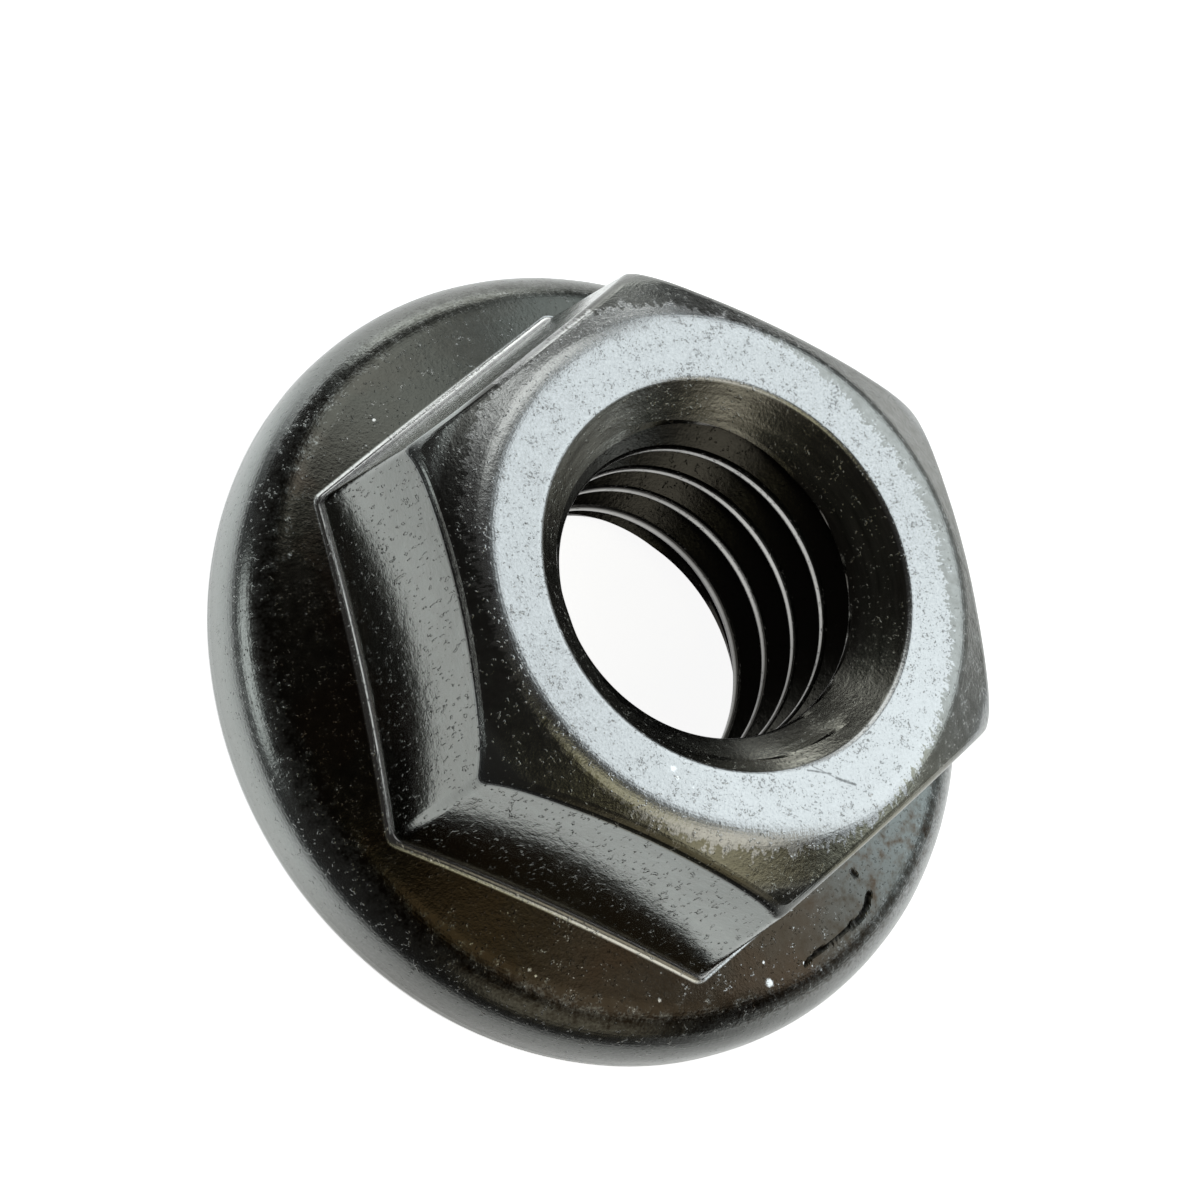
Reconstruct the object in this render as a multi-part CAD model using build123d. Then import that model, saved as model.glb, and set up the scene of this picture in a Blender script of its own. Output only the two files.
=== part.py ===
"""Hexagon flange lock nut, M6 x 1, forged and threaded from one blank.

Millimetres. The origin is the middle of the bearing face, +Z runs along the thread
towards the top face, and +X points squarely out of one flat of the hexagon.
"""

import os
from math import cos, radians, sin, tan

from build123d import *
from build123d.topology import SkipClean

# Thread
thread_diameter = 6.0  # nominal, at the root of the groove
thread_pitch = 1.0
thread_depth = 0.49  # from crest to root
flank_angle = 60.0  # between the two sides of the groove
groove_root_width = 0.125
groove_height = 0.17  # where the middle of one turn of the groove crosses the +X side

# Countersinks at both ends of the thread
countersink_angle = 107.0
top_mouth_margin = 0.33  # how far the mouth is cut back past the groove's root
bottom_mouth_margin = 0.45

# Hexagon
total_height = 5.7
across_flats = 9.95  # at the foot, just above the fillet
flat_draft = 4.2  # forging draft of each flat, in degrees
corner_radius = 0.25  # of the six upright corners
foot_fillet = 0.18  # between the hexagon and the flange

# Crown, the dressed upper end of the hexagon
crown_inset = 0.675  # from the foot of a flat in to the rim of the top face
crown_angle = 30.0  # how steeply the crown falls away from the top face
crown_edge_radius = 0.8  # where the top face turns down into the crown
shoulder_radius = 1.0  # where the crown rolls down into the six corners
shoulder_margin = 0.05  # how far that roll's upright end stands outside the corners

# Flange
flange_overhang = 1.105  # past the sharp corners of the hexagon
flange_slope = 15.0  # of its upper face, in degrees
rim_top_radius = 1.1
rim_foot_radius = 0.65
rim_land = 0.16  # the upright band between the two roundings

# How far the cutters reach past what they cut
cutter_overlap = 0.05
cutter_run_out = 1.0

root_radius = thread_diameter / 2
bore_radius = root_radius - thread_depth
sharp_corner_radius = across_flats / 2 / cos(radians(30))
flange_radius = sharp_corner_radius + flange_overhang
slope = radians(flange_slope)

# Where the rolled rim meets the sloping upper face of the flange
rim_height = rim_foot_radius + rim_land
roll_end_radius = flange_radius - rim_top_radius + rim_top_radius * sin(slope)
roll_end_height = rim_height + rim_top_radius * cos(slope)


def turned(outline):
    """The solid swept by an outline of radius and height that goes once round the axis."""
    return revolve(Plane.XZ * make_face(outline), Axis.Z)


def flange_top(radius):
    """Height of the sloping upper face of the flange at a radius."""
    return roll_end_height + (roll_end_radius - radius) * tan(slope)


def flange():
    """The washer-like foot: a flat bearing face, a rolled rim and a sloping upper face."""
    foot_end = (flange_radius - rim_foot_radius, 0)
    land_start = (flange_radius, rim_foot_radius)
    land_end = (flange_radius, rim_height)
    roll_end = (roll_end_radius, roll_end_height)
    outline = Line((0, 0), foot_end)
    outline += RadiusArc(foot_end, land_start, -rim_foot_radius)
    outline += Line(land_start, land_end)
    outline += RadiusArc(land_end, roll_end, -rim_top_radius)
    outline += Polyline(roll_end, (0, flange_top(0)), (0, 0))
    return turned(outline)


def hexagon():
    """The wrenching prism, drawn in a little towards the top, with rounded corners."""
    draft_at_foot = flange_top(across_flats / 2) * tan(radians(flat_draft))
    base = RegularPolygon(across_flats / 2 + draft_at_foot, 6, major_radius=False, rotation=30)
    prism = extrude(base, amount=total_height, taper=flat_draft)
    uprights = [edge for edge in prism.edges() if edge.bounding_box().size.Z > total_height / 2]
    return fillet(uprights, corner_radius)


def crown():
    """The envelope of the hexagon's upper end: a flat, a cone and a rolled shoulder.

    Below the shoulder it leans outward with the corners, and so leaves them whole.
    """
    flat_edge = (across_flats / 2 - crown_inset, total_height)
    corner_lean = tan(radians(flat_draft)) / cos(radians(30))
    foot_reach = sharp_corner_radius + shoulder_margin + flange_top(across_flats / 2) * corner_lean
    fall = tan(radians(crown_angle))
    shoulder_drop = (foot_reach - total_height * corner_lean - flat_edge[0]) / (1 / fall - corner_lean)
    shoulder = (flat_edge[0] + shoulder_drop / fall, total_height - shoulder_drop)
    section = make_face(
        Polyline((0, 0), (0, total_height), flat_edge, shoulder, (foot_reach, 0), (0, 0))
    )
    section = fillet(section.vertices().sort_by_distance(flat_edge)[0], crown_edge_radius)
    section = fillet(section.vertices().sort_by_distance(shoulder)[0], shoulder_radius)
    return revolve(Plane.XZ * section, Axis.Z)


def joined_body():
    """Flange and hexagon in one, with a small fillet around the hexagon's foot."""
    body = flange() + (hexagon() & crown())
    lowest_foot = flange_top(sharp_corner_radius)
    highest_foot = flange_top(across_flats / 2 - foot_fillet)
    around_foot = body.edges().filter_by_position(Axis.Z, lowest_foot, highest_foot)
    foot = [edge for edge in around_foot if edge.geom_type not in (GeomType.CIRCLE, GeomType.LINE)]
    return fillet(foot, foot_fillet)


def countersink_depth(mouth_radius):
    """How far a countersink's cone runs in before it meets the crests."""
    return (mouth_radius - bore_radius) / tan(radians(countersink_angle / 2))


def hole():
    """The hole through the thread's crests and its two countersinks, in four quarters.

    The quarters divide each crest strip of the thread into faces of a quarter turn, so
    that the middle height of every face lies on the crest and not in the groove.
    """
    top_mouth = root_radius + top_mouth_margin
    bottom_mouth = root_radius + bottom_mouth_margin
    spread = cutter_run_out * tan(radians(countersink_angle / 2))
    outline = Polyline(
        (0, -cutter_run_out),
        (bottom_mouth + spread, -cutter_run_out),
        (bore_radius, countersink_depth(bottom_mouth)),
        (bore_radius, total_height - countersink_depth(top_mouth)),
        (top_mouth + spread, total_height + cutter_run_out),
        (0, total_height + cutter_run_out),
        (0, -cutter_run_out),
    )
    quarter = revolve(Plane.XZ * make_face(outline), Axis.Z, 90)
    return [Rot(0, 0, 90 * step) * quarter for step in range(4)]


def groove_turn(start_height):
    """One right-hand turn of the groove: four helical faces, closed by a flat at each end."""
    inner_radius = bore_radius - cutter_overlap
    root_half = groove_root_width / 2
    mouth_half = root_half + (root_radius - inner_radius) * tan(radians(flank_angle / 2))
    section = [
        (inner_radius, -mouth_half),
        (root_radius, -root_half),
        (root_radius, root_half),
        (inner_radius, mouth_half),
    ]
    helices = [
        Edge.make_helix(thread_pitch, thread_pitch, radius, center=(0, 0, start_height + offset))
        for radius, offset in section
    ]
    pairs = list(zip(helices, helices[1:] + helices[:1]))
    sides = [Face.make_surface_from_curves(first, second) for first, second in pairs]
    ends = [Face(Wire([Edge.make_line(a @ end, b @ end) for a, b in pairs])) for end in (0, 1)]
    return Solid(Shell(sides + ends))


def thread_groove():
    """All turns of the groove, from below the bearing face to above the top face."""
    first = groove_height - 2 * thread_pitch
    turns = int((total_height - first) / thread_pitch) + 2
    return [groove_turn(first + turn * thread_pitch) for turn in range(turns)]


nut = joined_body()
with SkipClean():  # keeps the faces divided as the quarters leave them
    for quarter in hole():
        nut -= quarter
    for turn in thread_groove():
        nut -= turn
nut.label = "flange_lock_nut"

os.makedirs("parts", exist_ok=True)
export_step(nut, "parts/flange_lock_nut.step")
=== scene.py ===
# %% [markdown]
# # A flange lock nut in black oxide steel
#
# The nut is one forging: a hexagon for the wrench, a round flange that does the work of a
# washer, and a tapped hole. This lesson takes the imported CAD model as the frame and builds
# the nut that is seen over it, in the same place and at the same size. All sizes are in
# millimetres, and the last step of the shape turns them into metres.

import math
from types import SimpleNamespace

import bpy
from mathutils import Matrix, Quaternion, Vector


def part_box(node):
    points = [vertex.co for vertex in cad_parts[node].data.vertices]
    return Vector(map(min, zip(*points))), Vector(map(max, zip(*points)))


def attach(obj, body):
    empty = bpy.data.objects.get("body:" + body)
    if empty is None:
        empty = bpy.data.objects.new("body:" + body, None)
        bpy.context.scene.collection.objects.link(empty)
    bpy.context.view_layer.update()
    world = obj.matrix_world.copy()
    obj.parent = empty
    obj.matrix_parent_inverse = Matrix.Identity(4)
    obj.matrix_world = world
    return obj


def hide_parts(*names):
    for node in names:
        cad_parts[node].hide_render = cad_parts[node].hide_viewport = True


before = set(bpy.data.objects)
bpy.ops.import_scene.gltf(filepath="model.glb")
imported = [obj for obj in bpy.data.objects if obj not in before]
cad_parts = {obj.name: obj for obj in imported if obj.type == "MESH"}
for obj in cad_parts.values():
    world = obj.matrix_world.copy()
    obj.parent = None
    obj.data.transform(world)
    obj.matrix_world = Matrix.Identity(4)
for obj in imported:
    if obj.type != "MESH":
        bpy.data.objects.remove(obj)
node_name = "flange_lock_nut"
MM = 0.001
low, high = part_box(node_name)
total_height = high.z / MM
flange_radius = high.x / MM
print(f"frame: {total_height:.3f} mm high, flange radius {flange_radius:.3f} mm")

# %% [markdown]
# ## Node trees as sums
#
# A shape that follows a rule and a finish that varies over it are both formulas, and node
# trees hold formulas badly when each node is placed by hand. Two small classes let Python
# write them: `Value` is a node's output that can be added and multiplied, and `Graph` adds
# any node from its type, its settings and what goes into its sockets. Both work in a
# geometry tree and in a shader tree, because the two share their Math nodes.


# %% The two classes
class Value:
    """The output of a node, handled in Python like a number."""

    def __init__(self, graph, socket):
        self.graph = graph
        self.socket = socket

    def also(self, output):
        """Another output of the same node."""
        return Value(self.graph, self.socket.node.outputs[output])

    def __add__(self, other):
        return self.graph.maths("ADD", self, other)

    def __radd__(self, other):
        return self.graph.maths("ADD", other, self)

    def __sub__(self, other):
        return self.graph.maths("SUBTRACT", self, other)

    def __rsub__(self, other):
        return self.graph.maths("SUBTRACT", other, self)

    def __mul__(self, other):
        return self.graph.maths("MULTIPLY", self, other)

    def __rmul__(self, other):
        return self.graph.maths("MULTIPLY", other, self)

    def __truediv__(self, other):
        return self.graph.maths("DIVIDE", self, other)

    def __rtruediv__(self, other):
        return self.graph.maths("DIVIDE", other, self)

    def __mod__(self, other):
        return self.graph.maths("FLOORED_MODULO", self, other)

    def __abs__(self):
        return self.graph.maths("ABSOLUTE", self)

    def __lt__(self, other):
        return self.graph.maths("LESS_THAN", self, other)

    def __gt__(self, other):
        return self.graph.maths("GREATER_THAN", self, other)


class Graph:
    """Writes one node tree, of a shader or of geometry."""

    def __init__(self, tree):
        self.tree = tree

    def node(self, kind, settings=None, sockets=None, output=0):
        """Adds a node: first its settings, then the values or links of its sockets."""
        made = self.tree.nodes.new(kind)
        for name, setting in (settings or {}).items():
            setattr(made, name, setting)
        for name, given in (sockets or {}).items():
            for one in given if isinstance(given, list) else [given]:
                if isinstance(one, Value):
                    self.tree.links.new(one.socket, made.inputs[name])
                else:
                    made.inputs[name].default_value = one
        return Value(self, made.outputs[output]) if len(made.outputs) else made

    def maths(self, operation, *terms):
        return self.node("ShaderNodeMath", {"operation": operation}, dict(enumerate(terms)))

    def vector(self, operation, *terms, output=0):
        return self.node("ShaderNodeVectorMath", {"operation": operation}, dict(enumerate(terms)), output)

    def choose(self, share, none, full):
        """A number between two others: none at a share of 0, full at a share of 1."""
        return self.node("ShaderNodeMix", {"data_type": "FLOAT"}, {0: share, 2: none, 3: full})

    def ramp(self, value, start, end, smooth=False):
        """0 up to start, 1 from end on, and a slope between them."""
        shape = "SMOOTHSTEP" if smooth else "LINEAR"
        sockets = {"Value": value, "From Min": start, "From Max": end}
        return self.node("ShaderNodeMapRange", {"interpolation_type": shape}, sockets)

    def noise(self, place, scale, detail=2.0, roughness=0.5, output=0):
        """Soft random patches, in a range of 0 to 1 about a middle of 0.5."""
        sockets = {"Vector": place, "Scale": scale, "Detail": detail, "Roughness": roughness}
        return self.node("ShaderNodeTexNoise", None, sockets, output)


print("helpers: Value and Graph are ready")

# %% [markdown]
# ## The sizes of the nut
#
# These are the driving sizes of the CAD source again, so that both models have the same
# outline. The height and the flange's radius come from the frame's box, and the angles are
# kept as a maker would write them. The edges get small roundings of their own, because a
# forged and dressed edge is never sharp and the rounding is what catches the light. The
# crests of the thread are rounded over for the same reason.

# %% Named sizes
thread_pitch = 1.0
root_radius = 3.0
thread_depth = 0.49
groove_height = 0.17  # where the middle of one turn of the groove crosses the +X side
groove_root_width = 0.125
crest_radius = root_radius - thread_depth
flank_width = thread_depth * math.tan(math.radians(30))
crest_width = thread_pitch - groove_root_width - 2 * flank_width
crest_fall = 0.05  # how far a crest falls away from its middle to its edges

mouth_slope = math.tan(math.radians(107.0 / 2))
top_mouth = root_radius + 0.33
bottom_mouth = root_radius + 0.45

across_flats = 9.95
flat_draft = math.tan(math.radians(4.2))
corner_radius = 0.25
foot_fillet = 0.18
sharp_corner = across_flats / 2 / math.cos(math.radians(30))

crown_rim = across_flats / 2 - 0.675  # radius at which the top face would meet the crown
crown_angle = math.radians(30.0)
crown_edge_radius = 0.8
shoulder_radius = 1.0
shoulder_margin = 0.05

flange_slope = math.radians(15.0)
rim_top_radius = 1.1
rim_foot_radius = 0.65
rim_height = rim_foot_radius + 0.16
roll_end_reach = flange_radius - rim_top_radius * (1 - math.sin(flange_slope))
roll_end_height = rim_height + rim_top_radius * math.cos(flange_slope)


def flange_top(reach):
    """Height of the sloping upper face of the flange at a distance from the axis."""
    return roll_end_height + (roll_end_reach - reach) * math.tan(flange_slope)


draft_height = flange_top(across_flats / 2)
corner_lean = flat_draft / math.cos(math.radians(30))  # of the upright corners
dressed_edge = 0.14  # rounding of the crown's edge along each flat
mouth_edge = 0.06  # rounding of the hole's edge on the top face
print(f"sizes: the crest is {crest_width:.3f} mm wide, and each flank {flank_width:.3f} mm")

# %% [markdown]
# ## The outline as a walk
#
# The body is a grid that is bent into the nut. Its columns go round the axis, and its rows
# walk once round the section: out along the bearing face, up the rolled rim, in over the
# flange, up the flat, over the crown and the top face, and down the thread to the start.
# The walk ends where it began, so the body closes without a pole. It is a list of stretches,
# each with its number of rows, and each stretch says where it goes by a share from 0 to 1.

# %% Stretches and columns
stretches = {
    "bearing face": 3,
    "foot of the rim": 7,
    "land of the rim": 1,
    "roll of the rim": 26,
    "flange": 30,
    "foot of the hexagon": 8,
    "flat": 18,
    "edge of the crown": 6,
    "crown": 12,
    "edge of the top face": 8,
    "top face": 8,
    "edge of the mouth": 5,
}
crest_rows, flank_rows, root_rows = 6, 3, 2
rows_per_turn = crest_rows + 2 * flank_rows + root_rows
turns = 7
outline_rows = sum(stretches.values())
total_rows = outline_rows + turns * rows_per_turn

plain_columns = 300
nick_columns = 80
nick_start, nick_end = 111.5, 130.0  # degrees: the part of the flange that a crack runs over
columns = plain_columns + nick_columns
corner_crowding = 0.75  # how much closer the columns stand at the hexagon's corners
print(f"grid: {total_rows} rows by {columns} columns")


# %% [markdown]
# ## Heights and reaches by rule
#
# Two rules give every point of the hexagon. The first is how far the flats and the rounded
# corners reach at an azimuth and a height, with the draft that lets a forging leave its die.
# The second is the height of the crown at a distance from the axis: a flat, a rounding, a
# cone, and a rounded shoulder that rolls down into the leaning corners. Where the two rules
# meet is the curved edge over each flat.


# %% The shoulder, where the crown rolls down into the corners
foot_reach = sharp_corner + shoulder_margin + draft_height * corner_lean
fall = math.tan(crown_angle)
shoulder_drop = (foot_reach - total_height * corner_lean - crown_rim) / (1 / fall - corner_lean)
shoulder = Vector((crown_rim + shoulder_drop / fall, total_height - shoulder_drop))
up_the_crown = Vector((-math.cos(crown_angle), math.sin(crown_angle)))
down_the_corner = Vector((corner_lean, -1.0)).normalized()
half_turn = up_the_crown.angle(down_the_corner) / 2
shoulder_start = (shoulder + up_the_crown * shoulder_radius / math.tan(half_turn)).x
shoulder_inward = (up_the_crown + down_the_corner).normalized()
shoulder_centre = shoulder + shoulder_inward * shoulder_radius / math.sin(half_turn)
print(f"shoulder: starts {shoulder_start:.2f} mm from the axis")


# %% The rules of the hexagon and the crown
def azimuth_of(g, column):
    """The direction of a column, in radians, with columns crowded where detail needs them."""
    open_angle = 360.0 - (nick_end - nick_start)
    first = round(plain_columns * nick_start / open_angle)
    even = nick_start * g.ramp(column, 0, first)
    even = even + (nick_end - nick_start) * g.ramp(column, first, first + nick_columns)
    even = even + (360.0 - nick_end) * g.ramp(column, first + nick_columns, columns)
    turn = even * math.radians(1)
    return turn + corner_crowding / 6 * g.maths("SINE", turn * 6)


def hexagon_reach(g, azimuth, height):
    """Distance from the axis to the hexagon, at an azimuth and a height."""
    off_corner = abs(azimuth % math.radians(60) - math.radians(30))
    apothem = across_flats / 2 - (height - draft_height) * flat_draft
    flat = apothem / g.maths("COSINE", math.radians(30) - off_corner)
    centre = (apothem - corner_radius) / math.cos(math.radians(30))
    along = centre * g.maths("COSINE", off_corner)
    across = centre * g.maths("SINE", off_corner)
    arc = g.maths("MAXIMUM", corner_radius**2 - across * across, 0)
    corner = along + g.maths("SQRT", arc)
    tangent = corner_radius / 2 / (centre + corner_radius * math.cos(math.radians(30)))
    on_corner = g.maths("TANGENT", off_corner) < tangent
    return g.choose(on_corner, flat, corner)


def crown_height(g, reach):
    """Height of the crown at a distance from the axis."""
    edge_length = crown_edge_radius * math.tan(crown_angle / 2)
    edge_start = crown_rim - edge_length
    edge_end = crown_rim + edge_length * math.cos(crown_angle)

    past = g.maths("MAXIMUM", reach - edge_start, 0)
    edge = total_height - crown_edge_radius + g.maths("SQRT", crown_edge_radius**2 - past * past)
    cone = total_height - (reach - crown_rim) * fall
    out = reach - shoulder_centre.x
    roll = shoulder_centre.y + g.maths("SQRT", shoulder_radius**2 - out * out)
    outer = g.choose(reach > shoulder_start, cone, roll)
    return g.choose(reach > edge_end, edge, outer)


print("rules: hexagon and crown are written")

# %% [markdown]
# ## Roundings
#
# A small rounding between two stretches is a quadratic curve. It leaves the first stretch at
# one point, is drawn towards the corner where the two would meet, and arrives on the second.
# That costs a few nodes and is close enough to an arc at this size.


# %% A line and a rounding, both by a share from 0 to 1
def between(share, start, end):
    """The point at a share of the way, as a reach and a height."""
    return tuple(a + (b - a) * share for a, b in zip(start, end))


def rounded(share, start, corner, end):
    """The point on a rounding that is drawn towards a corner."""
    return between(share, between(share, start, corner), between(share, corner, end))


print("roundings: ready")

# %% [markdown]
# ## The thread
#
# A tapped thread is one groove that climbs the hole. The rows in the hole run along the
# helix, so that crests, flanks and the groove's root each keep their own rows all the way
# round and their edges stay clean. Each crest is slightly domed, which draws its reflection
# into a thin line. Going round once brings a row to where the row one turn higher began, which
# is why the grid's two sides can be merged. The countersinks simply cut the thread off: the
# wider of the thread and the two cones is the wall.


# %% The wall of the hole
def hole_wall(g, row, azimuth):
    """Reach and height of a row in the hole."""
    in_turn = row % rows_per_turn
    whole = (row - in_turn) / rows_per_turn
    first_flank_end = crest_rows + flank_rows
    root_end = first_flank_end + root_rows
    crest = g.ramp(in_turn, 0, crest_rows)
    going_out = g.ramp(in_turn, crest_rows, first_flank_end)
    root = g.ramp(in_turn, first_flank_end, root_end)
    going_in = g.ramp(in_turn, root_end, rows_per_turn)
    down = whole * thread_pitch + crest * crest_width
    down = down + (going_out + going_in) * flank_width + root * groove_root_width

    root_middle = crest_width + flank_width + groove_root_width / 2
    start = groove_height + root_middle
    start += thread_pitch * math.ceil((total_height - start) / thread_pitch)
    height = start - down + azimuth * (thread_pitch / math.tau)
    top_end = total_height - mouth_edge / mouth_slope
    height = g.maths("MINIMUM", g.maths("MAXIMUM", height, 0), top_end)

    off_middle = 2 * crest - 1
    thread = crest_radius + crest_fall * off_middle * off_middle
    thread = thread + (thread_depth - crest_fall) * (going_out - going_in)
    top_cone = top_mouth - (total_height - height) * mouth_slope
    bottom_cone = bottom_mouth - height * mouth_slope
    return g.maths("MAXIMUM", thread, g.maths("MAXIMUM", top_cone, bottom_cone)), height


print(f"thread: {turns} turns of {rows_per_turn} rows")


# %% [markdown]
# ## The whole walk
#
# Each stretch now gives its reach and height. The crown's edge is found by going back and
# forth between the two rules, because each needs what the other gives: four rounds bring it
# within a thousandth of a millimetre.


# %% All stretches in one rule
def outline_point(g, row, azimuth):
    """Reach and height of any row at an azimuth."""
    shares = {}
    start = 0
    for name, count in stretches.items():
        shares[name] = g.ramp(row, start, start + count)
        start += count

    foot_reach = hexagon_reach(g, azimuth, draft_height)
    foot = (foot_reach, roll_end_height + (roll_end_reach - foot_reach) * math.tan(flange_slope))
    foot_angle = math.radians(90) + flange_slope + math.atan(flat_draft)
    fillet_run = foot_fillet / math.tan(foot_angle / 2)
    foot_low = (
        foot[0] + fillet_run * math.cos(flange_slope),
        foot[1] - fillet_run * math.sin(flange_slope),
    )
    foot_high = (hexagon_reach(g, azimuth, foot[1] + fillet_run), foot[1] + fillet_run)

    edge_height = total_height - 0.3
    for _ in range(4):
        edge_reach = hexagon_reach(g, azimuth, edge_height)
        edge_height = crown_height(g, edge_reach)
    flat_end = (hexagon_reach(g, azimuth, edge_height - dressed_edge), edge_height - dressed_edge)
    crown_start = (edge_reach - dressed_edge, crown_height(g, edge_reach - dressed_edge))

    foot_turn = shares["foot of the rim"] * math.radians(90)
    roll_turn = shares["roll of the rim"] * (math.radians(90) - flange_slope)
    flat_height = between(shares["flat"], foot_high, flat_end)[1]
    flat_reach = hexagon_reach(g, azimuth, flat_height)

    edge_length = crown_edge_radius * math.tan(crown_angle / 2)
    top_start = crown_rim - edge_length
    crown_end = crown_rim + edge_length * math.cos(crown_angle)
    crown_share = shares["crown"] * shares["crown"]
    crown_reach = crown_start[0] + (crown_end - crown_start[0]) * crown_share
    turn_reach = crown_end + (top_start - crown_end) * shares["edge of the top face"]

    mouth_start = (top_mouth + mouth_edge, total_height)
    mouth_end = (top_mouth - mouth_edge, total_height - mouth_edge / mouth_slope)
    rim_foot_start = flange_radius - rim_foot_radius
    points = {
        "bearing face": between(shares["bearing face"], (bottom_mouth, 0.0), (rim_foot_start, 0.0)),
        "foot of the rim": (
            rim_foot_start + rim_foot_radius * g.maths("SINE", foot_turn),
            rim_foot_radius * (1 - g.maths("COSINE", foot_turn)),
        ),
        "land of the rim": between(
            shares["land of the rim"], (flange_radius, rim_foot_radius), (flange_radius, rim_height)
        ),
        "roll of the rim": (
            flange_radius - rim_top_radius * (1 - g.maths("COSINE", roll_turn)),
            rim_height + rim_top_radius * g.maths("SINE", roll_turn),
        ),
        "flange": between(shares["flange"], (roll_end_reach, roll_end_height), foot_low),
        "foot of the hexagon": rounded(shares["foot of the hexagon"], foot_low, foot, foot_high),
        "flat": (flat_reach, flat_height),
        "edge of the crown": rounded(
            shares["edge of the crown"], flat_end, (edge_reach, edge_height), crown_start
        ),
        "crown": (crown_reach, crown_height(g, crown_reach)),
        "edge of the top face": (turn_reach, crown_height(g, turn_reach)),
        "top face": between(shares["top face"], (top_start, total_height), mouth_start),
        "edge of the mouth": rounded(
            shares["edge of the mouth"], mouth_start, (top_mouth, total_height), mouth_end
        ),
    }
    reach, height = hole_wall(g, row - outline_rows, azimuth)
    start = outline_rows
    for name, count in reversed(stretches.items()):
        here = row < start - 0.5 if start == outline_rows else row < start + 0.5
        start -= count
        reach = g.choose(here, reach, points[name][0])
        height = g.choose(here, height, points[name][1])
    return reach, height


print("walk: all stretches are joined")

# %% [markdown]
# ## Marks of use
#
# A nut out of a bin isn't perfect. The forging left a short crack near the rim of the flange,
# and another nut has knocked a small pit beside it. Each mark is a stroke: a few points by
# distance from the axis and azimuth, a width and a depth. The tree lays a line through the
# points and pushes in what lies near it, and it notes how deep each point went so that the
# finish can be darker there.

# %% Strokes on the flange
strokes = [
    {
        "name": "crack",
        "points": [(6.05, 121.3), (6.05, 118.8), (6.06, 116.3), (6.02, 113.2), (6.08, 110.2)],
        "width": 0.042,
        "depth": 0.06,
    },
    {
        "name": "crack, wide end",
        "points": [(5.92, 127.5), (6.02, 125.8), (6.07, 123.6), (6.05, 121.3)],
        "width": 0.075,
        "depth": 0.08,
    },
    {"name": "scar", "points": [(5.42, 127.5), (5.5, 127.7)], "width": 0.07, "depth": 0.04},
]


def flange_surface(reach):
    """Height of the flange's upper side, its roll included, at a distance from the axis."""
    if reach < roll_end_reach:
        return flange_top(reach)
    past = reach - (flange_radius - rim_top_radius)
    return rim_height + math.sqrt(rim_top_radius**2 - past**2)


def place_of(reach, azimuth):
    """A point on the flange in metres, from its distance from the axis and its azimuth."""
    angle = math.radians(azimuth)
    return Vector((reach * math.cos(angle), reach * math.sin(angle), flange_surface(reach))) * MM


def stroke_share(g, stroke, wobble):
    """1 along the middle of a stroke and 0 beyond its width."""
    places = [place_of(*point) for point in stroke["points"]]
    lines = [
        g.node("GeometryNodeCurvePrimitiveLine", None, {"Start": start, "End": end})
        for start, end in zip(places, places[1:])
    ]
    joined = g.node("GeometryNodeJoinGeometry", None, {"Geometry": lines})
    wire = g.node("GeometryNodeCurveToMesh", None, {"Curve": joined})
    near = g.node("GeometryNodeProximity", {"target_element": "EDGES"}, {0: wire}, "Distance")
    return 1 - g.ramp(near, 0, stroke["width"] * MM * wobble, smooth=True)


print(f"marks: {len(strokes)} strokes")

# %% [markdown]
# ## The geometry tree
#
# Everything comes together in one tree: the grid, its bending, the merging of its seam, the
# slight unevenness of a forging and the strokes. The unevenness only ever goes inward, so the
# nut stays within the box of the frame. Five masks are kept as attributes for the finish: the
# flange, the band around the hexagon's foot, the flats, the hole and the marks.


# %% Build the tree
swell_scale = 350.0  # waves to the metre: a forging's slow unevenness
fray_scale = 14000.0  # waves to the metre: the torn edges of a crack


def add_input(tree, name, kind, default):
    """A named input of the tree, for a size or a seed."""
    socket = tree.interface.new_socket(name, in_out="INPUT", socket_type=kind)
    socket.default_value = default
    return socket.identifier


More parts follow.
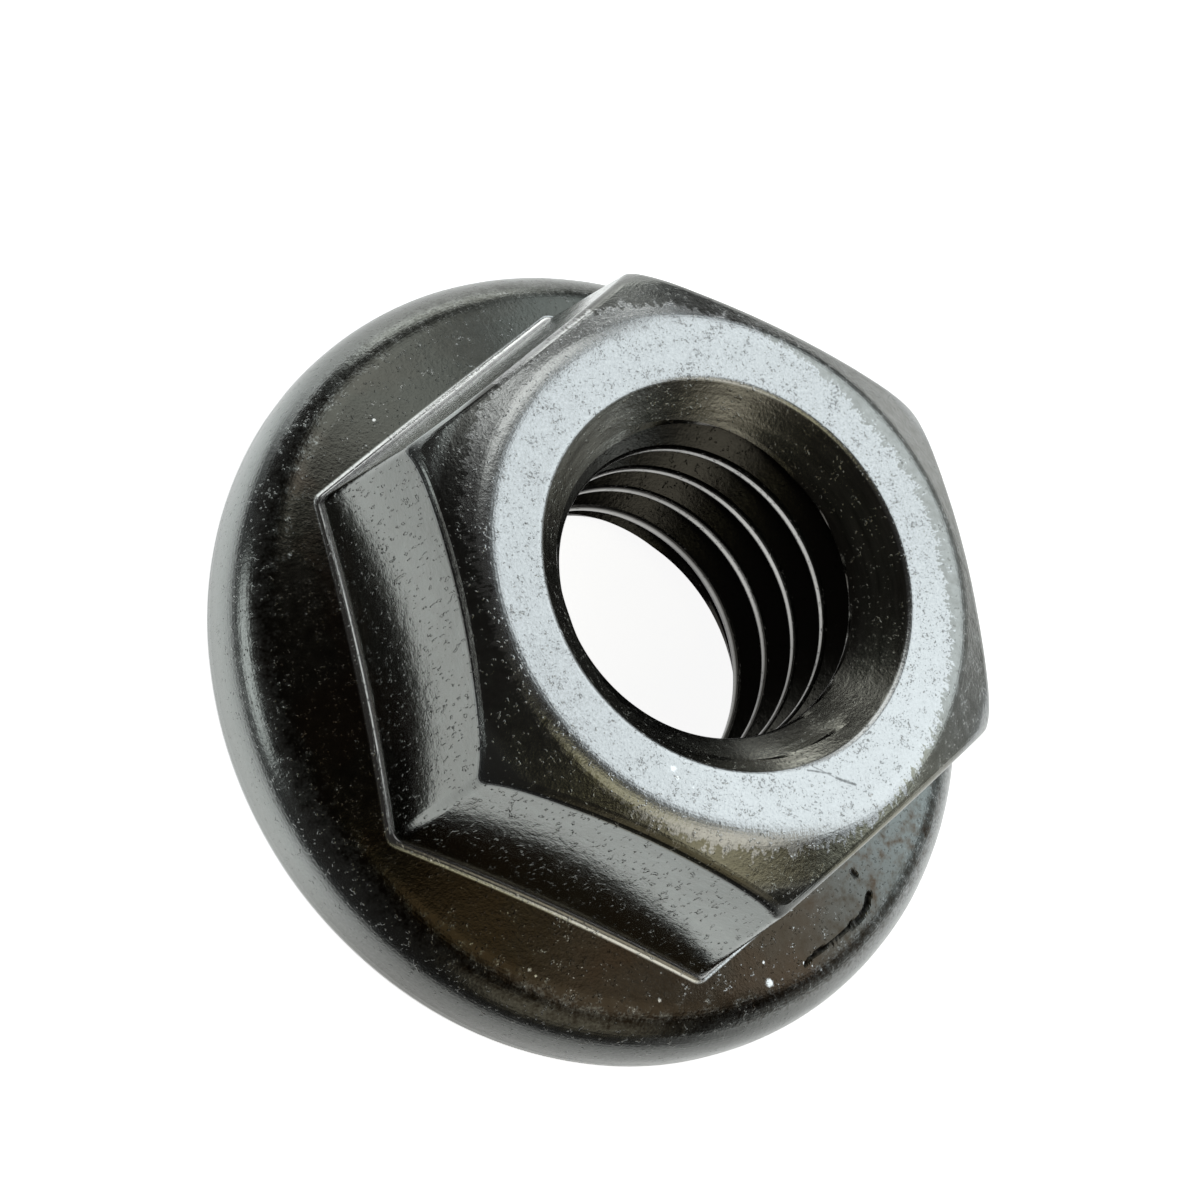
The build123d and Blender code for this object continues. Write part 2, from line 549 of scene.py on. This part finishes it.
def nut_tree(material):
    """The geometry tree that makes the nut, and the identifiers of its inputs."""
    tree = bpy.data.node_groups.new("forged_nut", "GeometryNodeTree")
    tree.interface.new_socket("Geometry", in_out="OUTPUT", socket_type="NodeSocketGeometry")
    identifiers = {
        "Unevenness": add_input(tree, "Unevenness", "NodeSocketFloat", 0.0),
        "Mark depth": add_input(tree, "Mark depth", "NodeSocketFloat", 0.0),
        "Seed": add_input(tree, "Seed", "NodeSocketFloat", 0.0),
    }
    g = Graph(tree)
    given = g.node("NodeGroupInput")

    grid = g.node(
        "GeometryNodeMeshGrid",
        None,
        {"Size X": 1.0, "Size Y": 1.0, "Vertices X": total_rows + 1, "Vertices Y": columns + 1},
    )
    index = g.node("GeometryNodeInputIndex")
    column = index % (columns + 1)
    row = (index - column) / (columns + 1)
    azimuth = azimuth_of(g, column)
    reach, height = outline_point(g, row, azimuth)
    bent = g.node(
        "ShaderNodeCombineXYZ",
        None,
        {
            "X": reach * g.maths("COSINE", azimuth),
            "Y": reach * g.maths("SINE", azimuth),
            "Z": height,
        },
    )
    bent = g.node("ShaderNodeVectorMath", {"operation": "SCALE"}, {0: bent, "Scale": MM})
    body = g.node("GeometryNodeSetPosition", None, {"Geometry": grid, "Position": bent})

    ends = {}
    for name, count in stretches.items():
        ends[name] = max(ends.values(), default=0) + count
    masks = {
        "flange_face": (row > ends["land of the rim"] + 0.5) * (row < ends["flange"] + 0.5),
        "foot_band": (row > ends["flange"] + 0.5) * (row < ends["foot of the hexagon"] - 0.5),
        "flat_face": (row > ends["foot of the hexagon"] - 0.5) * (row < ends["flat"] + 0.5),
        "hole_wall": row > outline_rows + 0.5,
    }
    for name, mask in masks.items():
        body = g.node(
            "GeometryNodeStoreNamedAttribute",
            {"data_type": "FLOAT", "domain": "POINT"},
            {"Geometry": body, "Name": name, "Value": mask},
        )
    body = g.node("GeometryNodeMergeByDistance", None, {"Geometry": body, "Distance": 0.0005 * MM})
    body = g.node("GeometryNodeFlipFaces", None, {"Mesh": body})

    place = g.node("GeometryNodeInputPosition")
    normal = g.node("GeometryNodeInputNormal")
    seeded = g.node(
        "ShaderNodeTexNoise",
        {"noise_dimensions": "4D"},
        {"Vector": place, "Scale": swell_scale, "W": given.also("Seed"), "Detail": 2.0},
    )
    sink = seeded * given.also("Unevenness") * MM
    wobble = 0.3 + 1.4 * g.noise(place, fray_scale, 3.0)
    marked = 0.0
    for stroke in strokes:
        share = stroke_share(g, stroke, wobble)
        sink = sink + share * given.also("Mark depth") * stroke["depth"] * MM
        marked = g.maths("MAXIMUM", share, marked)
    offset = g.node("ShaderNodeVectorMath", {"operation": "SCALE"}, {0: normal, "Scale": sink * -1})
    body = g.node(
        "GeometryNodeStoreNamedAttribute",
        {"data_type": "FLOAT", "domain": "POINT"},
        {"Geometry": body, "Name": "mark", "Value": marked},
    )
    body = g.node("GeometryNodeSetPosition", None, {"Geometry": body, "Offset": offset})

    sharp = g.node("GeometryNodeInputMeshEdgeAngle") > math.radians(50)
    body = g.node(
        "GeometryNodeSetShadeSmooth",
        {"domain": "EDGE"},
        {"Geometry": body, "Selection": sharp, "Shade Smooth": False},
    )
    body = g.node("GeometryNodeRealizeInstances", None, {"Geometry": body})
    body = g.node("GeometryNodeSetMaterial", None, {"Geometry": body, "Material": material})
    g.node("NodeGroupOutput", None, {"Geometry": body})
    return tree, identifiers


print("tree: written, and built with the piece below")

# %% [markdown]
# ## The finish
#
# Black oxide is a thin dark skin on steel that keeps the shine of what lies under it, so it is
# a metal with a dark colour. It isn't the same all over. The flats slid along the die and are
# smooth, with tiny raised specks. The top face was dressed and is paler, with fine dark dots
# and a ragged edge. The flange kept a thick, oily skin and is nearly black, its rim was rubbed,
# and the thread was cut after forging. On top of that come painted light and shade: lighter and
# darker sides of the crown, rim, flange and top face, a painted highlight on the thread's crests
# and on the band at the hexagon's foot, painted shade in the thread's groove, and painted glints
# on the flange. Each of these is one colour of its own, and the masks of the shape, the distance
# from the axis or the side of the nut choose between them.


# %% Helpers for the finish
def direction(azimuth, elevation):
    """The unit vector towards an azimuth from +X and an elevation, in degrees."""
    turn, rise = math.radians(azimuth), math.radians(elevation)
    return Vector((math.cos(rise) * math.cos(turn), math.cos(rise) * math.sin(turn), math.sin(rise)))


def blend(g, share, first, second):
    """A colour between two others."""
    return g.node("ShaderNodeMix", {"data_type": "RGBA"}, {0: share, 6: first, 7: second}, 2)


def grey(level, tint=(1.0, 1.0, 1.0)):
    """A colour of a brightness, with a slight tint."""
    return tuple(level * part for part in tint) + (1.0,)


def stretched(g, x, y, z):
    """A place to read a pattern at, from its three parts."""
    return g.node("ShaderNodeCombineXYZ", None, {"X": x, "Y": y, "Z": z})


def near_line(g, place, start, end, width, wobble):
    """1 on a straight scratch between two points, and 0 beyond its width."""
    start, end = Vector(start), Vector(end)
    run = end - start
    from_start = g.vector("SUBTRACT", place, start)
    along = g.vector("DOT_PRODUCT", from_start, run / run.length_squared, output="Value")
    along = g.maths("MAXIMUM", g.maths("MINIMUM", along, 1), 0)
    foot = g.node("ShaderNodeVectorMath", {"operation": "SCALE"}, {0: tuple(run), "Scale": along})
    off = g.vector("DISTANCE", from_start, foot, output="Value")
    return 1 - g.ramp(off / wobble, width * 0.4, width, smooth=True)


def near_spots(g, place, spots, wobble):
    """1 on small spots, each a point and a radius."""
    shown = 0.0
    for *middle, radius in spots:
        off = g.vector("DISTANCE", place, tuple(middle), output="Value")
        share = 1 - g.ramp(off / wobble, radius * 0.5, radius, smooth=True)
        shown = g.maths("MAXIMUM", share, shown)
    return shown


print("helpers of the finish: ready")

# %% [markdown]
# ## Small marks in the finish
#
# Marks that are only a few hundredths of a millimetre deep are part of the finish and not of
# the shape: a forked scratch on the top face, a few bright rubs, and bright flecks on the
# flange beside the crack. They are written down as places on the nut in millimetres.

# %% Scratches and flecks
scratches = [
    ((-0.59, 3.34, 5.7), (-1.0, 3.44, 5.7), 0.035),
    ((-0.72, 3.3, 5.7), (-1.05, 3.5, 5.7), 0.03),
    ((-1.08, 3.52, 5.7), (-1.4, 3.66, 5.7), 0.045),
]
rubs = [(1.82, 3.08, 5.7, 0.08), (1.78, 3.24, 5.7, 0.055), (1.55, 3.42, 5.7, 0.03)]
flecks = [
    (-1.35, 5.94, 1.85, 0.1),
    (-1.27, 5.6, 1.93, 0.035),
    (-2.09, 5.69, 1.86, 0.05),
    (-2.25, 5.75, 1.83, 0.035),
    (-2.45, 5.82, 1.75, 0.04),
    (-1.85, 5.98, 1.8, 0.03),
    (3.0, 5.22, 1.88, 0.05),
    (2.91, 5.33, 1.86, 0.04),
    (0.77, 5.99, 1.87, 0.05),
    (3.69, -4.16, 1.99, 0.045),
    (-3.27, 4.28, 2.02, 0.04),
]
print(f"marks in the finish: {len(scratches)} scratches, {len(rubs) + len(flecks)} bright spots")

# %% [markdown]
# ## What a point of the surface knows
#
# Every colour asks the same things of a point: how high it is and how far from the axis, which
# masks it lies in, and what a few patterns read there. The patterns go from patches of a
# millimetre down to a grain of a few hundredths, and their scale is the number of waves to the
# millimetre. Streaks run outward, as a dressed edge tears, turning runs round the axis, as a tool
# leaves it, and the specks on the flats are drawn out upright, as the die leaves them.


# %% The surface
def peaks(g, noise, mottle, clustering, start, end):
    """The tops of a noise as small spots, which the mottle gathers into clusters."""
    return g.ramp(noise + clustering * (mottle - 0.5), start, end, smooth=True)


def read_surface(g):
    """Place, masks and patterns of a point, each under its own name."""
    s = SimpleNamespace(g=g)
    metres = g.node("ShaderNodeTexCoord", None, None, "Object")
    s.place = g.node("ShaderNodeVectorMath", {"operation": "SCALE"}, {0: metres, "Scale": 1 / MM})
    x = g.node("ShaderNodeSeparateXYZ", None, {"Vector": s.place})
    y, s.height = x.also("Y"), x.also("Z")
    s.reach = g.maths("SQRT", x * x + y * y)
    for name in ("flange_face", "foot_band", "flat_face", "hole_wall", "mark"):
        setattr(s, name, g.node("ShaderNodeAttribute", {"attribute_name": name}, None, "Fac"))

    s.patches = g.noise(s.place, 0.9, 2.0)
    s.mottle = g.noise(s.place, 5.0, 3.0, 0.65)
    s.grain = g.noise(s.place, 19.0, 2.0, 0.6)
    s.fine = g.noise(s.place, 26.0, 2.0, 0.6)
    outward = stretched(g, x / s.reach * 4.4, y / s.reach * 4.4, s.reach * 0.3)
    s.streaks = g.noise(outward, 13.0, 2.0, 0.6)
    around = stretched(g, x / s.reach, y / s.reach, s.reach * 4.0)
    s.turning = g.noise(around, 3.0, 2.0, 0.7)
    upright = stretched(g, x, y, s.height * 0.35)
    s.specks = peaks(g, g.noise(upright, 17.0, 1.0), s.mottle, 0.6, 0.64, 0.74)
    s.bumps = peaks(g, g.noise(s.place, 16.0, 1.0), s.mottle, 0.7, 0.67, 0.77)
    s.dots = peaks(g, s.fine, s.mottle, 0.5, 0.58, 0.7)
    # painted glints: the brightest spots of the fine pattern, used as bright specks on the flange
    s.glints = peaks(g, s.fine, s.mottle, 0.9, 0.71, 0.81)
    return s


# Colours and borders that follow this share carry painted light and shade on one side of the nut.
def side(s, azimuth, start, end):
    """1 on the side of the nut that faces an azimuth, and fading to 0 away from it."""
    facing = s.g.vector("DOT_PRODUCT", s.place, direction(azimuth, 0), output="Value")
    return s.g.ramp(facing / s.reach, start, end, smooth=True)


print("surface: place, five masks and nine patterns")

# %% [markdown]
# ## Where each look ends
#
# Four borders aren't edges of the shape. The dressed face ends in a ragged line on the crown
# that lies further out on some sides than on others, which is partly painted light. The thick
# skin of the flange ends where the rim was rubbed. The crests of the thread are what the tool left
# standing innermost, and they take a painted highlight. And everything above the flats, outside
# the hole, counts as the top.


# %% The borders
def find_borders(s):
    """The shares of a point in the top, the dressed face, the thick skin and the crests."""
    g = s.g
    s.on_top = g.ramp(s.height, 5.2, 5.3) * (1 - s.hole_wall)
    dressed_and_lit_reach = 4.43 + 0.5 * (s.streaks + s.mottle - 1) + 0.3 * (s.grain - 0.5)
    # painted light: the pale dressed face reaches further out towards two sides and less far towards a
    # third
    dressed_and_lit_reach = dressed_and_lit_reach + 0.35 * side(s, -70.0, 0.3, 0.9)
    dressed_and_lit_reach = dressed_and_lit_reach + 0.15 * side(s, 105.0, 0.3, 0.9)
    dressed_and_lit_reach = dressed_and_lit_reach - 0.4 * side(s, 195.0, 0.0, 0.8)
    s.dressed = s.on_top * g.ramp(dressed_and_lit_reach - s.reach, -0.03, 0.03)
    rubbed_height = 1.66 + 0.4 * (s.grain - 0.5) + 0.5 * (s.mottle - 0.5)
    s.thick = s.flange_face * g.ramp(s.height - rubbed_height, -0.15, 0.12)
    s.crest = s.hole_wall * (1 - g.ramp(s.reach, crest_radius + 0.01, crest_radius + 0.03))


print("borders: top, dressed face, thick skin and crests")

# %% [markdown]
# ## The colours
#
# Each look mixes two greys by one of the patterns. The crown, rim, flange and dressed face then
# turn lighter, darker, olive or brown towards certain sides, which is painted light and shade.
# Dark metal shows a change of a few hundredths clearly, so the steps are small.


# %% One function for each look
def crown_colour(s):
    """Dark grey, with painted shade towards one side and a darker olive painted shade towards another."""
    g = s.g
    crown = blend(g, s.mottle, grey(0.14, (1.0, 0.98, 0.9)), grey(0.34, (1.0, 1.01, 0.98)))
    # painted shade: darker towards one side
    crown = blend(g, side(s, -50.0, 0.3, 0.9) * 0.7, crown, grey(0.1, (1.0, 1.0, 0.95)))
    # painted shade: darker and olive towards another side
    return blend(g, side(s, 88.0, 0.5, 0.95) * 0.6, crown, grey(0.16, (1.1, 1.02, 0.62)))


def flat_colour(s):
    """Smooth and slightly green, with warmer clouds."""
    smooth = blend(s.g, s.patches, grey(0.3, (0.96, 1.03, 0.99)), grey(0.4, (0.97, 1.03, 1.0)))
    return blend(s.g, s.mottle * 0.5, smooth, grey(0.28, (1.03, 1.0, 0.94)))


def rim_colour(s):
    """Grainy grey, with a painted highlight on one side and painted shade on two others."""
    g = s.g
    rim = blend(g, s.grain, grey(0.18, (0.98, 1.0, 1.0)), grey(0.42, (0.98, 1.0, 1.0)))
    # painted highlight: brighter towards one side
    rim = blend(g, side(s, -15.0, 0.4, 0.9) * 0.7, rim, grey(0.5, (0.96, 1.02, 1.0)))
    # painted shade: darker towards two other sides
    rim = blend(g, side(s, 80.0, 0.5, 0.9) * 0.6, rim, grey(0.12, (1.0, 1.0, 0.9)))
    return blend(g, side(s, -95.0, 0.5, 0.9) * 0.7, rim, grey(0.14, (1.0, 1.0, 0.9)))


def flange_colour(s):
    """A nearly black skin with brown patches, painted light on two sides, painted shade on a third, and
    fine painted glints.
    """
    g = s.g
    crust = blend(g, s.mottle, grey(0.02, (1.2, 1.0, 0.75)), grey(0.11, (1.08, 1.0, 0.85)))
    brown = g.ramp(s.patches, 0.45, 0.6, smooth=True) * 0.5
    crust = blend(g, brown, crust, grey(0.06, (1.35, 0.9, 0.62)))
    # painted light: a paler grey side, in patches
    lit_side = side(s, 150.0, 0.75, 0.98) * g.ramp(s.mottle, 0.3, 0.55)
    crust = blend(g, lit_side, crust, grey(0.14, (0.96, 1.03, 1.0)))
    # painted light: slightly lighter and greener towards another side
    crust = blend(g, side(s, -95.0, 0.2, 0.9) * 0.8, crust, grey(0.085, (0.98, 1.03, 0.95)))
    # painted shade: darker and browner towards a third side
    crust = blend(g, side(s, 75.0, 0.3, 0.9) * 0.7, crust, grey(0.022, (1.5, 1.0, 0.6)))
    # painted glints: bright specks in the colour
    return blend(g, s.glints * (1 - lit_side) * 0.8, crust, grey(0.4))


def dressed_colour(s):
    """Pale and grainy, with fine dark dots, and lighter towards one side as painted light."""
    pale = blend(s.g, s.grain, grey(0.29), grey(0.46))
    # painted light: lighter towards one side
    pale = blend(s.g, side(s, 110.0, 0.2, 0.9) * 0.35, pale, grey(0.52))
    return blend(s.g, s.dots * 0.65, pale, grey(0.12))


def hole_colour(s):
    """Turned rings in the countersink, painted shade in the thread's groove and painted highlights on its
    crests.
    """
    cut = blend(s.g, s.turning, grey(0.04, (1.0, 0.95, 0.8)), grey(0.36, (1.0, 0.97, 0.86)))
    # painted shade: the thread below the countersink is nearly black
    in_countersink = s.g.ramp(s.height - 5.25, -0.25, 0.1)
    cut = blend(s.g, in_countersink, grey(0.045, (1.0, 0.95, 0.85)), cut)
    # painted highlight: the crests are bright
    return blend(s.g, s.crest, cut, grey(0.75, (1.0, 1.0, 0.97)))


print("colours: crown, flats, rim, flange, dressed face and hole")

# %% [markdown]
# ## The material
#
# The looks are laid over each other, and the scratches, rubs and marks come last. The relief
# stays within a few hundredths of a millimetre: it only turns the reflections a little, which
# is what breaks their edges up. The flats are the smoothest part, and the marks are dull.


# %% The black oxide material
def black_oxide():
    """The dark, slightly worn skin of the nut."""
    material = bpy.data.materials.new("black_oxide_steel")
    material.use_nodes = True
    material.node_tree.nodes.clear()
    g = Graph(material.node_tree)
    s = read_surface(g)
    find_borders(s)

    colour = blend(g, s.on_top, rim_colour(s), crown_colour(s))
    colour = blend(g, s.flat_face, colour, flat_colour(s))
    # painted highlight: the band round the hexagon's foot is pale
    colour = blend(g, s.foot_band, colour, grey(0.6))
    colour = blend(g, s.thick, colour, flange_colour(s))
    colour = blend(g, s.dressed, colour, dressed_colour(s))
    colour = blend(g, s.hole_wall, colour, hole_colour(s))

    wobble = 0.35 + 1.1 * s.grain
    scratched = 0.0
    for start, end, width in scratches:
        share = near_line(g, s.place, start, end, width, wobble)
        scratched = g.maths("MAXIMUM", share, scratched)
    bright = near_spots(g, s.place, rubs + flecks, wobble)
    colour = blend(g, scratched * 0.75, colour, grey(0.05))
    colour = blend(g, bright, colour, grey(0.6))
    colour = blend(g, s.mark * 0.85, colour, grey(0.01))

    flat = s.flat_face
    roughness = 0.15 - 0.07 * flat + 0.03 * s.dressed + 0.12 * s.mottle + 0.3 * s.mark
    relief = s.grain * (0.35 - 0.2 * flat) + s.mottle * (0.5 + 0.1 * flat)
    relief = relief + s.specks * flat * 0.9 + s.bumps * (1 - flat) * 0.8
    bump = g.node("ShaderNodeBump", None, {"Strength": 0.5, "Distance": relief_depth, "Height": relief})
    shader = g.node(
        "ShaderNodeBsdfPrincipled",
        None,
        {"Base Color": colour, "Metallic": 1.0, "Roughness": roughness, "Normal": bump},
    )
    g.node("ShaderNodeOutputMaterial", None, {"Surface": shader})
    return material


relief_depth = 0.016 * MM
oxide_skin = black_oxide()
print(f"finish: {oxide_skin.name} with {len(oxide_skin.node_tree.nodes)} nodes")

# %% [markdown]
# ## The nut
#
# The tree runs once, its result becomes a plain mesh, and the modifier goes. The piece rides
# on the frame's only body and stands for the CAD node, which keeps its work as collision
# shape and is no longer shown.

# %% Make the piece
unevenness = 0.03
seed = 4.0


def make_nut():
    """Runs the tree and keeps its result as a plain mesh."""
    tree, identifiers = nut_tree(oxide_skin)
    carrier = bpy.data.objects.new("nut_carrier", bpy.data.meshes.new("nut_carrier"))
    bpy.context.scene.collection.objects.link(carrier)
    modifier = carrier.modifiers.new("forging", "NODES")
    modifier.node_group = tree
    modifier[identifiers["Unevenness"]] = unevenness
    modifier[identifiers["Mark depth"]] = 1.0
    modifier[identifiers["Seed"]] = seed
    evaluated = carrier.evaluated_get(bpy.context.evaluated_depsgraph_get())
    mesh = bpy.data.meshes.new_from_object(evaluated)
    bpy.data.objects.remove(carrier)
    nut = bpy.data.objects.new("forged_nut", mesh)
    bpy.context.scene.collection.objects.link(nut)
    return nut


nut = make_nut()
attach(nut, "root")
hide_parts(node_name)
triangles = sum(len(face.vertices) - 2 for face in nut.data.polygons)
print(f"nut: {len(nut.data.vertices)} vertices, {triangles} triangles")

# %% [markdown]
# ## The floor
#
# The nut stands on a white table that runs off into a white background. To the camera the
# table is white everywhere. In the metal it shows too, because the lower rim and the flats get
# their light from it, but on the camera's side its reflection fades to painted dark between
# 7.5 and 14 mm from the axis, a painted shade for the dark of the room beyond a light tent.

# %% Floor
view_azimuth = 25.27
view_elevation = 56.96
table_lit_to, table_dark_from = 7.5, 14.0  # millimetres from the nut's axis


def white_table():
    """A white floor that also shows white in the metal, except far out on the camera's side, where its
    reflection is painted dark.
    """
    material = bpy.data.materials.new("white_table")
    material.use_nodes = True
    material.node_tree.nodes.clear()
    g = Graph(material.node_tree)
    rays = g.node("ShaderNodeLightPath", None, None, "Is Camera Ray")
    mirrored = g.maths("MAXIMUM", rays.also("Is Glossy Ray"), rays.also("Is Transmission Ray"))
    place = g.node("ShaderNodeTexCoord", None, None, "Object")
    reach = g.vector("LENGTH", place, output="Value") / MM
    towards = g.vector("DOT_PRODUCT", place, direction(view_azimuth, 0), output="Value") / MM
    in_front = g.ramp(towards / reach, -0.3, 0.3, smooth=True)
    # painted shade: the floor turns dark in reflections far out on the camera's side
    dark = mirrored * in_front * g.ramp(reach, table_lit_to, table_dark_from)
    paint = g.node("ShaderNodeBsdfDiffuse", None, {"Color": grey(0.8)})
    seen = rays * 0.92 + mirrored * 0.65
    glow = g.node("ShaderNodeEmission", None, {"Color": grey(1.0), "Strength": seen})
    lit = g.node("ShaderNodeAddShader", None, {0: paint, 1: glow})
    unlit = g.node("ShaderNodeEmission", None, {"Color": grey(0.03), "Strength": 1.0})
    both = g.node("ShaderNodeMixShader", None, {0: dark, 1: lit, 2: unlit})
    g.node("ShaderNodeOutputMaterial", None, {"Surface": both})
    return material


floor_mesh = bpy.data.meshes.new("floor")
floor_half = 3.0
floor_corners = [(-1, -1), (1, -1), (1, 1), (-1, 1)]
floor_mesh.from_pydata([(x * floor_half, y * floor_half, 0) for x, y in floor_corners], [], [(0, 1, 2, 3)])
floor_mesh.materials.append(white_table())
floor = bpy.data.objects.new("floor", floor_mesh)
floor.location.z = -0.01 * MM
bpy.context.scene.collection.objects.link(floor)
print(f"floor: {2 * floor_half:.0f} m wide")

# %% [markdown]
# ## The light
#
# Glossy dark metal shows its surroundings more than its own colour, so the light is what
# shapes it. One large softbox stands behind the nut and fills the top face. Four smaller cards
# stand round it: two of them tint the near side of the crown warm and olive, one lights its
# other side, and a brown one fills the seam of the flange. Two low walls light the rim and the far
# flats, and a strip near the camera draws the bright line along the hexagon's foot. The rest of
# the room stays dark, which together with painted shade in their colours is why the near side of
# the crown and the flange are nearly black.


# %% Softbox and cards
def lit_card(name, level, tint, half_width, half_height, soft):
    """The front of a card: bright in the middle and fading over the outer share of its size."""
    material = bpy.data.materials.new(name)
    material.use_nodes = True
    material.node_tree.nodes.clear()
    g = Graph(material.node_tree)
    place = g.node("ShaderNodeTexCoord", None, None, "Object")
    x = g.node("ShaderNodeSeparateXYZ", None, {"Vector": place})
    across = 1 - g.ramp(abs(x) / half_width, 1 - soft, 1, smooth=True)
    upward = 1 - g.ramp(abs(x.also("Y")) / half_height, 1 - soft, 1, smooth=True)
    strength = across * upward * level
    glow = g.node("ShaderNodeEmission", None, {"Color": grey(1.0, tint), "Strength": strength})
    g.node("ShaderNodeOutputMaterial", None, {"Surface": glow})
    return material


def card(name, azimuth, elevation, width, height, level, tint, soft=0.45):
    """A flat lit card that faces the nut from a direction and isn't seen by the camera."""
    mesh = bpy.data.meshes.new(name)
    half = (width / 2, height / 2)
    mesh.from_pydata([(x * half[0], y * half[1], 0) for x, y in floor_corners], [], [(0, 1, 2, 3)])
    mesh.materials.append(lit_card(name, level, tint, *half, soft))
    made = bpy.data.objects.new(name, mesh)
    bpy.context.scene.collection.objects.link(made)
    out = direction(azimuth, elevation)
    made.location = out * card_distance
    made.rotation_mode = "QUATERNION"
    made.rotation_quaternion = out.to_track_quat("Z", "Y")
    made.visible_camera = False


card_distance = 0.3
cool, plain = (0.93, 1.02, 1.05), (0.97, 1.01, 0.98)
warm, brown, olive = (1.03, 1.0, 0.86), (1.1, 1.0, 0.75), (1.05, 1.0, 0.65)
card("softbox", 197.0, 44.0, 0.7, 0.31, 2.0, cool, 0.35)
card("left_card", 116.0, 54.0, 0.22, 0.24, 1.2, warm, 0.6)
card("olive_card", 93.0, 70.0, 0.16, 0.14, 0.8, olive, 0.6)
card("right_card", 264.0, 43.0, 0.22, 0.2, 1.8, plain, 0.6)
card("low_wall", 170.0, 9.0, 0.7, 0.12, 0.4, plain)
card("side_wall", 256.0, 4.0, 0.2, 0.12, 2.6, plain)
card("front_strip", -18.0, 9.0, 0.3, 0.11, 1.0, plain, 0.6)
card("brown_card", 92.0, 22.0, 0.3, 0.2, 0.35, brown, 0.6)

world = bpy.data.worlds.new("dim_room")
bpy.context.scene.world = world
world.use_nodes = True
world.node_tree.nodes.clear()
g = Graph(world.node_tree)
room = g.node("ShaderNodeBackground", None, {"Color": grey(0.03, (1.0, 0.95, 0.88)), "Strength": 1.0})
white = g.node("ShaderNodeBackground", None, {"Color": grey(1.0), "Strength": 1.0})
camera_ray = g.node("ShaderNodeLightPath", None, None, "Is Camera Ray")
both = g.node("ShaderNodeMixShader", None, {0: camera_ray, 1: room, 2: white})
g.node("ShaderNodeOutputWorld", None, {"Surface": both})
print("light: a softbox, four cards, two low walls, a strip and a dim room")

# %% [markdown]
# ## The camera
#
# The camera was fitted to the photograph: it looks steeply down at the nut with a long lens,
# and it is rolled, so the nut's axis leans to the right in the picture.

# %% Place the camera
view_roll = 55.56
view_distance = 86.06
aim = Vector((0.771, -0.534, 2.85)) * MM

camera = bpy.data.objects.new("camera", bpy.data.cameras.new("camera"))
bpy.context.scene.collection.objects.link(camera)
camera.data.lens = 158.0
camera.data.sensor_width = 36.0
camera.data.clip_start = 0.01
camera.data.clip_end = 20.0
outward = direction(view_azimuth, view_elevation)
camera.location = aim + outward * view_distance * MM
camera.rotation_mode = "QUATERNION"
level = (-outward).to_track_quat("-Z", "Y")
camera.rotation_quaternion = level @ Quaternion((0, 0, 1), math.radians(view_roll))
bpy.context.scene.camera = camera
bpy.context.scene.view_settings.view_transform = "Standard"
print(f"camera: {view_distance:.1f} mm away, {camera.data.lens:.0f} mm lens")
